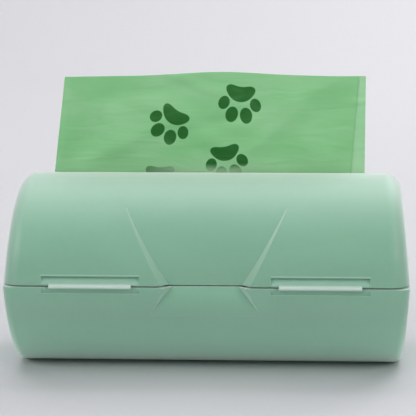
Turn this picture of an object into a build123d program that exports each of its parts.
from build123d import *
import math
import os

# Roll dispenser for pet-waste bags: a clamshell case lying on its side, with a lid that swings on two
# moulded-in webs, a roll of perforated bags on a paper core, and the first bag standing out of a slot.
# Millimetres. X runs along the case, the webs are on the -Y side, the latch is on the +Y side, +Z is up.
# Pieces are drawn about the case's axis and lifted by AXIS_HEIGHT, so the origin is the middle of the foot.

# ---------------------------------------------------------------- case
CASE_LENGTH = 88.0
CASE_RADIUS = 21.0
WALL = 1.8
FOOT_WIDTH = 8.0
PARTING_GAP = 0.3
LID_END_DRAFT = 5.2
BASE_END_DRAFT = 3.7
LID_END_ROUND = 4.0
BASE_END_ROUND = 1.9
RIM_EASE = 0.25
INNER_ROUND_MIN = 0.3

# Lip of the base that stands inside the lid, on every side but the hinged one
LIP_THICKNESS = 0.8
LIP_HEIGHT = 1.4
LIP_ROOT = 2.6
LIP_CLEARANCE = 0.3
LIP_BITE = 0.3
LIP_START_Y = -11.0

# ---------------------------------------------------------------- pinched waist on the hinged side
WAIST_DEPTH = 1.9
WAIST_WALL_SLOPE = 1.0
LID_WAIST_HALF_WIDTH = 9.6
LID_WAIST_SPREAD = 0.497
LID_WAIST_TOP_ANGLE = 50.0
LID_CREASE_KINK = 2.0
LID_CREASE_STEP = 2.8
LID_CREASE_SPREAD = 0.61
LID_CREASE_END_ANGLE = 79.0
LID_WAIST_FADE_ANGLE = 82.0
BASE_WAIST_HALF_WIDTH = 8.8
BASE_WAIST_SPREAD = 0.48
BASE_WAIST_END_ANGLE = -18.0
BASE_WAIST_FADE_ANGLE = -20.0
WAIST_OVERRUN = 4.0
WAIST_INNER_EASE = 1.2
WAIST_EASE = 0.2
VEE_EDGE_MIN = 12.0
VEE_STATIONS = 5

# ---------------------------------------------------------------- hinge webs
HINGE_OFFSET = 0.55
POCKET_CENTRE = 24.8
POCKET_LENGTH = 21.2
LID_POCKET_TOP = 2.3
LID_POCKET_DEPTH = 0.8
BASE_POCKET_BOTTOM = 1.7
BASE_POCKET_DEPTH = 0.35
WEB_LENGTH = 17.8
WEB_THICKNESS = 0.4
WEB_FOLD_RADIUS = 0.65
WEB_SEAT_DEPTH = 0.05
WEB_END_SLANT = 0.5

# ---------------------------------------------------------------- latch on the far side
LATCH_WIDTH = 16.0
LATCH_AXIS_OFFSET = 1.6
LATCH_AXIS_RISE = 4.4
KNUCKLE_RADIUS = 1.0
KNUCKLE_CLEARANCE = 0.05
TONGUE_THICKNESS = 1.2
TONGUE_STAND_OFF = 1.0
TONGUE_DROP = 9.4
THUMB_LIP_REACH = 1.3
THUMB_LIP_HEIGHT = 1.2
GRIP_RIB_COUNT = 3
GRIP_RIB_PITCH = 1.5
GRIP_RIB_RADIUS = 0.35
GRIP_RIB_LENGTH = 11.0
TONGUE_CORNER = 2.0
CATCH_HEIGHT = 1.0
CATCH_DROP = 2.2
CATCH_REACH = 0.6
CATCH_WIDTH = 12.8
SNAP_CLEARANCE = 0.06
HOOK_HEIGHT = 1.1
HOOK_GAP = 0.35
HOOD_HEIGHT = 1.9
HOOD_SKIRT = 1.2
HOOD_ROUND = 0.7
LATCH_GAP = 0.3

# ---------------------------------------------------------------- roll of bags
BAG_COUNT = 15
BAG_LENGTH = 300.0
FOLDED_WIDTH = 70.0
WOUND_FILM = 0.12
AIR_GAP = 0.01
CORE_RADIUS = 8.0
CORE_WALL = 1.0
ROLL_SHIFT = -0.9

# Ribs that carry the roll
CRADLE_CLEARANCE = 0.3
CRADLE_THICKNESS = 1.6
CRADLE_X = 26.0
CRADLE_TOP = -1.6
LID_RIB_X = 20.0
LID_RIB_CLEARANCE = 0.8
LID_RIB_THICKNESS = 1.4
LID_RIB_LOW = 3.0
LID_RIB_HIGH_Y = -4.0
END_PLAY = 1.3
END_RIB_THICKNESS = 1.0
END_RIB_MARGIN = 1.0
RIB_BITE = 0.5

# ---------------------------------------------------------------- leading bag and its slot
SLOT_Y = 9.0
SLOT_WIDTH = 3.0
SLOT_END_CLEARANCE = 2.0
FILM_SOLID = 0.5
TAIL_SHOWN = 23.6
TAIL_LEFT_TAPER = 2.9
TAIL_RIGHT_FLARE = 0.4
FEED_GAP = 0.3

# ---------------------------------------------------------------- worked out from the above
AXIS_HEIGHT = math.sqrt(CASE_RADIUS**2 - (FOOT_WIDTH / 2) ** 2)
HALF_LENGTH = CASE_LENGTH / 2
INNER_RADIUS = CASE_RADIUS - WALL
HINGE_Y = -CASE_RADIUS - HINGE_OFFSET
LATCH_Y = CASE_RADIUS + LATCH_AXIS_OFFSET
TONGUE_Y = CASE_RADIUS + TONGUE_STAND_OFF
ROOM = 4 * CASE_RADIUS + CASE_LENGTH


def wound_radii():
    """Outer radius of the core, then of each wound bag, from the innermost bag to the leading one."""
    leading = BAG_LENGTH - TAIL_SHOWN - (CASE_RADIUS - CORE_RADIUS)
    radii = [CORE_RADIUS]
    for number in range(BAG_COUNT, 0, -1):
        length = leading if number == 1 else BAG_LENGTH
        radii.append(math.sqrt(radii[-1] ** 2 + length * WOUND_FILM / math.pi))
    return radii


ROLL_RADIUS = wound_radii()[-1]


# ---------------------------------------------------------------- shared shapes
def slab(low, high):
    """Everything between two heights."""
    return Pos(0, 0, (low + high) / 2) * Box(ROOM, ROOM, high - low)


def rod(radius, length, y=0.0, z=0.0, x=0.0):
    """A cylinder along X."""
    return Pos(x, y, z) * Rot(0, 90, 0) * Cylinder(radius, length)


def block(x_low, x_high, y_low, y_high, z_low, z_high):
    """A box between six planes."""
    centre = Pos((x_low + x_high) / 2, (y_low + y_high) / 2, (z_low + z_high) / 2)
    return centre * Box(x_high - x_low, y_high - y_low, z_high - z_low)


def prism_x(points, x_low, x_high):
    """A (y, z) outline stretched along X."""
    face = Plane.YZ * make_face(Polyline(*points, close=True))
    return Pos(x_low, 0, 0) * extrude(face, x_high - x_low)


def half_drum(inset, draft, end_round, side):
    """Half of the case's drum, drawn in by inset. side is 1 for the lid and -1 for the base.

    Its ends lean inward away from the parting plane and are rounded over onto the drum's surface.
    """
    radius = CASE_RADIUS - inset
    half = HALF_LENGTH - inset
    lean = math.tan(math.radians(draft))
    overlap = LIP_ROOT + LIP_BITE
    reach = CASE_RADIUS + 1
    outline = [
        (-half - overlap * lean, -side * overlap),
        (half + overlap * lean, -side * overlap),
        (half - reach * lean, side * reach),
        (-half + reach * lean, side * reach),
    ]
    wedge = extrude(Plane.XZ * make_face(Polyline(*outline, close=True)), reach, both=True)
    drum = rod(radius, 2 * ROOM) & wedge
    ends = drum.edges().filter_by(GeomType.ELLIPSE)
    return fillet(ends, max(end_round - inset, INNER_ROUND_MIN))


def lid_drum(inset=0.0):
    return half_drum(inset, LID_END_DRAFT, LID_END_ROUND, 1)


def base_drum(inset=0.0):
    return half_drum(inset, BASE_END_DRAFT, BASE_END_ROUND, -1)


def eased_rim(shell, height):
    """The outer edge of a shell's rim, at the parting plane, is eased by a small radius."""
    rim = shell.faces().filter_by(Plane.XY).sort_by(lambda face: abs(face.center().Z - height))[0]
    return fillet(rim.outer_wire().edges(), RIM_EASE)


# ---------------------------------------------------------------- the pinched waist
def around(angle):
    """The plane across the drum's skin at an angle above the hinge line. Its local Y points inward."""
    turn = math.radians(angle)
    place = (0, -CASE_RADIUS * math.cos(turn), CASE_RADIUS * math.sin(turn))
    return Plane(origin=place, x_dir=(1, 0, 0), z_dir=(0, math.sin(turn), math.cos(turn)))


def waist_section(angle, half_width):
    """The waist's opening at one angle: side walls slope in towards the floor."""
    outside = -RIM_EASE - WAIST_DEPTH
    inside = WAIST_DEPTH + WALL + RIB_BITE
    points = [
        (half_width - WAIST_WALL_SLOPE * outside, outside),
        (half_width - WAIST_WALL_SLOPE * inside, inside),
        (-half_width + WAIST_WALL_SLOPE * inside, inside),
        (-half_width + WAIST_WALL_SLOPE * outside, outside),
    ]
    return around(angle) * make_face(Polyline(*points, close=True))


def evenly(first, last):
    """Angles of the sections that a waist is lofted through."""
    step = (last - first) / (VEE_STATIONS - 1)
    return [first + step * number for number in range(VEE_STATIONS)]


def lid_waist_width(angle):
    """Half the width of the lid's waist at the skin: straight-sided seen from the front."""
    return LID_WAIST_HALF_WIDTH + LID_WAIST_SPREAD * CASE_RADIUS * math.sin(math.radians(angle))


def lid_waist_opening(extra=0.0):
    """The V between the hinges, and above it the spread that runs out to the lid's ends."""
    top = LID_WAIST_TOP_ANGLE
    angles = evenly(-WAIST_OVERRUN, top)
    vee = loft([waist_section(a, lid_waist_width(a) + extra) for a in angles])
    kink = top + LID_CREASE_KINK
    kink_width = lid_waist_width(top) + LID_CREASE_STEP
    end_width = kink_width + LID_CREASE_SPREAD * (LID_CREASE_END_ANGLE - kink)
    rises = [(top, lid_waist_width(top)), (kink, kink_width), (LID_CREASE_END_ANGLE, end_width)]
    spread = [
        loft([waist_section(a, w + extra) for a, w in pair], ruled=True)
        for pair in zip(rises, rises[1:])
    ]
    return vee + spread[0] + spread[1]


def base_waist_opening(extra=0.0):
    """The short spread below the parting plane, which fades out on the base."""
    angles = evenly(WAIST_OVERRUN, BASE_WAIST_END_ANGLE)
    drops = [CASE_RADIUS * math.sin(math.radians(-a)) for a in angles]
    widths = [BASE_WAIST_HALF_WIDTH + BASE_WAIST_SPREAD * drop + extra for drop in drops]
    return loft([waist_section(a, w) for a, w in zip(angles, widths)])


def eased_waist(shell):
    """The two long edges where the vee's side walls meet the drum's skin are eased by a small radius."""
    skin = []
    for edge in shell.edges().filter_by(GeomType.BSPLINE):
        middle = edge.center()
        off_skin = abs(math.hypot(middle.Y, middle.Z) - CASE_RADIUS)
        within_vee = abs(middle.X) < lid_waist_width(LID_WAIST_TOP_ANGLE)
        if edge.length > VEE_EDGE_MIN and off_skin < RIM_EASE and within_vee:
            skin.append(edge)
    return fillet(skin, WAIST_EASE)


def waist_floor(fade_angle, inset=0.0):
    """The cylinder that the waist's floor lies on: it passes WAIST_DEPTH inside the hinge line and
    touches the drum's skin at the fade angle."""
    turn = math.radians(fade_angle)
    floor_y = CASE_RADIUS - WAIST_DEPTH
    offset = (CASE_RADIUS**2 - floor_y**2) / (2 * (CASE_RADIUS - floor_y * math.cos(turn)))
    radius = CASE_RADIUS - offset - inset
    return rod(radius, 2 * ROOM, y=-offset * math.cos(turn), z=offset * math.sin(turn))


# ---------------------------------------------------------------- hinge pockets and webs
def lid_pocket(x):
    """Scoop in the lid's edge over one web: a ledge above, then a face that slopes out to the web."""
    skin = -CASE_RADIUS
    seat = skin + WEB_SEAT_DEPTH
    points = [
        (skin - HINGE_OFFSET, -PARTING_GAP),
        (seat, -PARTING_GAP),
        (seat, WEB_FOLD_RADIUS),
        (skin + LID_POCKET_DEPTH, LID_POCKET_TOP - LID_POCKET_DEPTH / 2),
        (skin + LID_POCKET_DEPTH, LID_POCKET_TOP),
        (skin - HINGE_OFFSET, LID_POCKET_TOP),
    ]
    return prism_x(points, x - POCKET_LENGTH / 2, x + POCKET_LENGTH / 2)


def base_pocket(x):
    """Shallower scoop in the base's edge under one web."""
    skin = -CASE_RADIUS
    seat = skin + WEB_SEAT_DEPTH
    points = [
        (skin - HINGE_OFFSET, PARTING_GAP),
        (seat, PARTING_GAP),
        (seat, -WEB_FOLD_RADIUS),
        (skin + BASE_POCKET_DEPTH, -BASE_POCKET_BOTTOM + BASE_POCKET_DEPTH / 2),
        (skin - HINGE_OFFSET, -BASE_POCKET_BOTTOM),
    ]
    return prism_x(points, x - POCKET_LENGTH / 2, x + POCKET_LENGTH / 2)


def hinge_web(x):
    """One folded web: a thin half-round strip from the base's edge to the lid's, ends cut on a slant."""
    seat = -CASE_RADIUS + WEB_SEAT_DEPTH
    ring = rod(WEB_FOLD_RADIUS, WEB_LENGTH, y=seat, x=x)
    ring -= rod(WEB_FOLD_RADIUS - WEB_THICKNESS, WEB_LENGTH, y=seat, x=x)
    front = block(-ROOM, ROOM, seat - CASE_RADIUS, seat, -CASE_RADIUS, CASE_RADIUS)
    half = WEB_LENGTH / 2
    slant = [
        (x - half, seat),
        (x + half, seat),
        (x + half - WEB_END_SLANT, seat - WEB_FOLD_RADIUS),
        (x - half + WEB_END_SLANT, seat - WEB_FOLD_RADIUS),
    ]
    outline = extrude(make_face(Polyline(*slant, close=True)), CASE_RADIUS, both=True)
    return ring & front & outline


# ---------------------------------------------------------------- ribs inside the case
def drum_rib(x, thickness, opening_radius, low, high, limits):
    """A flat rib across the case, from the wall in to an opening, kept between two heights and in y."""
    rib = rod(INNER_RADIUS + RIB_BITE, thickness, x=x) - rod(opening_radius, 2 * thickness, x=x)
    return rib & block(-ROOM, ROOM, limits[0], limits[1], low, high)


def base_ribs():
    """Two cradles under the roll, and two end ribs that keep it in the middle of the case."""
    end_x = FOLDED_WIDTH / 2 + END_PLAY + END_RIB_THICKNESS / 2
    kinds = [
        (CRADLE_X, CRADLE_THICKNESS, ROLL_RADIUS + CRADLE_CLEARANCE),
        (end_x, END_RIB_THICKNESS, CORE_RADIUS + END_RIB_MARGIN),
    ]
    bounds = (-CASE_RADIUS, CASE_RADIUS)
    return [
        drum_rib(side * x, thickness, opening, -CASE_RADIUS, CRADLE_TOP, bounds)
        for x, thickness, opening in kinds
        for side in (-1, 1)
    ]


def lid_ribs():
    """Two ribs on the lid's hinged side that keep the roll down."""
    opening = ROLL_RADIUS + LID_RIB_CLEARANCE
    bounds = (-CASE_RADIUS, LID_RIB_HIGH_Y)
    return [
        drum_rib(side * LID_RIB_X, LID_RIB_THICKNESS, opening, LID_RIB_LOW, CASE_RADIUS, bounds)
        for side in (-1, 1)
    ]


# ---------------------------------------------------------------- latch
def latch_hood():
    """Bracket on the lid that the latch tongue's knuckle turns in."""
    half = LATCH_WIDTH / 2
    low = LATCH_AXIS_RISE - HOOD_SKIRT
    high = LATCH_AXIS_RISE + HOOD_HEIGHT
    front = TONGUE_Y + TONGUE_THICKNESS
    hood = block(-half, half, INNER_RADIUS, front, low, high)
    crown = hood.edges().filter_by(Axis.X).sort_by(lambda edge: edge.center().Y + edge.center().Z)[-1]
    hood = fillet(crown, HOOD_ROUND)
    hood -= rod(KNUCKLE_RADIUS + KNUCKLE_CLEARANCE, LATCH_WIDTH, y=LATCH_Y, z=LATCH_AXIS_RISE)
    way_out = TONGUE_Y - LATCH_GAP
    return hood - block(-half, half, way_out, front, low, LATCH_AXIS_RISE)


def latch_tongue():
    """Springy tongue with its knuckle, the hook behind it, a thumb lip and grip ribs."""
    half = LATCH_WIDTH / 2
    foot = LATCH_AXIS_RISE - TONGUE_DROP
    face = TONGUE_Y + TONGUE_THICKNESS
    lip_top = foot + THUMB_LIP_HEIGHT
    tongue = block(-half, half, TONGUE_Y, face, foot, LATCH_AXIS_RISE)
    lip = [(TONGUE_Y, foot), (face + THUMB_LIP_REACH, foot), (face, lip_top), (TONGUE_Y, lip_top)]
    tongue += prism_x(lip, -half, half)
    for row in range(GRIP_RIB_COUNT):
        rib_z = lip_top + (row + 1) * GRIP_RIB_PITCH
        tongue += rod(GRIP_RIB_RADIUS, GRIP_RIB_LENGTH, y=face, z=rib_z)
    rounded = Pos(0, TONGUE_DROP / 2 + foot) * RectangleRounded(LATCH_WIDTH, TONGUE_DROP, TONGUE_CORNER)
    squared = Pos(0, LATCH_AXIS_RISE) * Rectangle(LATCH_WIDTH, TONGUE_DROP)
    tongue &= extrude(Plane.XZ * (rounded + squared), 2 * CASE_RADIUS, both=True)
    return tongue + rod(KNUCKLE_RADIUS, LATCH_WIDTH, y=LATCH_Y, z=LATCH_AXIS_RISE) + latch_hook()


def latch_hook():
    """Wedge behind the tongue that sits under the base's catch."""
    top = -CATCH_DROP - CATCH_HEIGHT / 2 - HOOK_GAP
    tip = CASE_RADIUS + CATCH_REACH + SNAP_CLEARANCE
    points = [(TONGUE_Y + RIM_EASE, top), (tip, top), (TONGUE_Y + RIM_EASE, top - HOOK_HEIGHT)]
    return prism_x(points, -CATCH_WIDTH / 2, CATCH_WIDTH / 2)


def latch_catch():
    """Ridge on the base's far side."""
    reach = CASE_RADIUS + CATCH_REACH
    root = INNER_RADIUS + WALL / 2
    low = -CATCH_DROP - CATCH_HEIGHT / 2
    points = [(root, low), (reach, low), (reach, low + CATCH_HEIGHT / 2), (root, low + 2 * CATCH_HEIGHT)]
    return prism_x(points, -CATCH_WIDTH / 2, CATCH_WIDTH / 2)


# ---------------------------------------------------------------- the two shells
def base_lip():
    """Lip that stands up inside the lid's rim and is rooted in the base's wall."""
    outer = LIP_CLEARANCE + WALL
    upper = lid_drum(outer) - lid_drum(outer + LIP_THICKNESS)
    upper &= slab(-LIP_ROOT / 3, LIP_HEIGHT)
    lower = base_drum(WALL - LIP_BITE) - base_drum(outer + LIP_THICKNESS)
    lower &= slab(-LIP_ROOT, -PARTING_GAP)
    return (upper + lower) & block(-ROOM, ROOM, LIP_START_Y, ROOM, -CASE_RADIUS, CASE_RADIUS)


def base_shell():
    """Lower half of the case, with its foot, lip, ribs, catch and hinge pockets."""
    rim = -PARTING_GAP / 2
    outer = eased_rim(base_drum() & slab(-AXIS_HEIGHT, rim), rim)
    backing = base_waist_opening(WAIST_INNER_EASE) - waist_floor(BASE_WAIST_FADE_ANGLE, WALL)
    cavity = base_drum(WALL) - backing
    shell = outer - (base_waist_opening() - waist_floor(BASE_WAIST_FADE_ANGLE)) - cavity
    for rib in base_ribs():
        shell += rib & outer
    shell += base_lip()
    shell += latch_catch()
    for side in (-1, 1):
        shell -= base_pocket(side * POCKET_CENTRE)
    return shell


def slot_opening():
    """The bag slot, square to the floor, with round ends."""
    length = FOLDED_WIDTH + 2 * SLOT_END_CLEARANCE + SLOT_WIDTH
    return Pos(ROLL_SHIFT, SLOT_Y, 0) * extrude(SlotOverall(length, SLOT_WIDTH), 2 * CASE_RADIUS)


def lid_shell():
    """Upper half of the case, with its waist, slot, ribs, latch hood and hinge pockets."""
    rim = PARTING_GAP / 2
    outer = eased_rim(lid_drum() & slab(rim, CASE_RADIUS + 1), rim)
    backing = lid_waist_opening(WAIST_INNER_EASE) - waist_floor(LID_WAIST_FADE_ANGLE, WALL)
    cavity = lid_drum(WALL) - backing
    shell = eased_waist(outer - (lid_waist_opening() - waist_floor(LID_WAIST_FADE_ANGLE)) - cavity)
    for rib in lid_ribs():
        shell += rib & outer
    shell += latch_hood()
    shell -= slot_opening()
    for side in (-1, 1):
        shell -= lid_pocket(side * POCKET_CENTRE)
    return shell


# ---------------------------------------------------------------- the roll
def tube(outer, inner):
    """A tube as long as the roll."""
    return rod(outer, FOLDED_WIDTH, x=ROLL_SHIFT) - rod(inner, 2 * FOLDED_WIDTH, x=ROLL_SHIFT)


def roll_core():
    """Paper core."""
    return tube(CORE_RADIUS, CORE_RADIUS - CORE_WALL)


def wound_bags():
    """Each bag's turns on the roll, from the last bag next to the core to the leading one outside."""
    radii = wound_radii()
    names = [f"wound_bag_{number:02d}" for number in range(BAG_COUNT, 0, -1)]
    return {name: tube(outer, inner + AIR_GAP) for name, inner, outer in zip(names, radii, radii[1:])}


# ---------------------------------------------------------------- the leading bag
def slot_floor():
    """Height of the drum's inner skin under the slot."""
    return math.sqrt(INNER_RADIUS**2 - SLOT_Y**2)


def leading_bag_tail():
    """The stretch that stands out of the slot, as one plain closed sheet."""
    left = ROLL_SHIFT - FOLDED_WIDTH / 2
    right = ROLL_SHIFT + FOLDED_WIDTH / 2
    low = slot_floor()
    top = math.sqrt(CASE_RADIUS**2 - SLOT_Y**2) + TAIL_SHOWN
    outline = [(left, low), (right, low), (right + TAIL_RIGHT_FLARE, top), (left + TAIL_LEFT_TAPER, top)]
    sheet = extrude(Plane.XZ * make_face(Polyline(*outline, close=True)), FILM_SOLID / 2, both=True)
    return Pos(0, SLOT_Y, 0) * sheet


def leading_bag_feed():
    """The stretch from the roll's far side up to the slot, along the tangent to the roll."""
    top_y = SLOT_Y
    top_z = slot_floor() - FEED_GAP - FILM_SOLID
    reach = math.hypot(top_y, top_z)
    standoff = ROLL_RADIUS + FEED_GAP + FILM_SOLID / 2
    turn = math.atan2(top_z, top_y) - math.acos(standoff / reach)
    start = Vector(0, standoff * math.cos(turn), standoff * math.sin(turn))
    run = Vector(0, top_y, top_z) - start
    across = run.normalized().cross(Vector(1, 0, 0)) * (FILM_SOLID / 2)
    corners = [start - across, start + across, start + run + across, start + run - across]
    points = [(corner.Y, corner.Z) for corner in corners]
    left = ROLL_SHIFT - FOLDED_WIDTH / 2
    return prism_x(points, left, left + FOLDED_WIDTH)


def main():
    pieces = {
        "base_shell": base_shell(),
        "lid_shell": lid_shell(),
        "hinge_web_left": hinge_web(-POCKET_CENTRE),
        "hinge_web_right": hinge_web(POCKET_CENTRE),
        "latch_tongue": latch_tongue(),
        "roll_core": roll_core(),
        "leading_bag_feed": leading_bag_feed(),
        "leading_bag_tail": leading_bag_tail(),
    }
    pieces.update(wound_bags())
    os.makedirs("parts", exist_ok=True)
    for name, piece in pieces.items():
        export_step(Pos(0, 0, AXIS_HEIGHT) * piece, f"parts/{name}.step")
    print(f"axis height {AXIS_HEIGHT:.4f}, roll radius {ROLL_RADIUS:.4f}")
    print(f"lid axis y {HINGE_Y:.3f}, latch axis y {LATCH_Y:.3f} z {AXIS_HEIGHT + LATCH_AXIS_RISE:.3f}")


main()
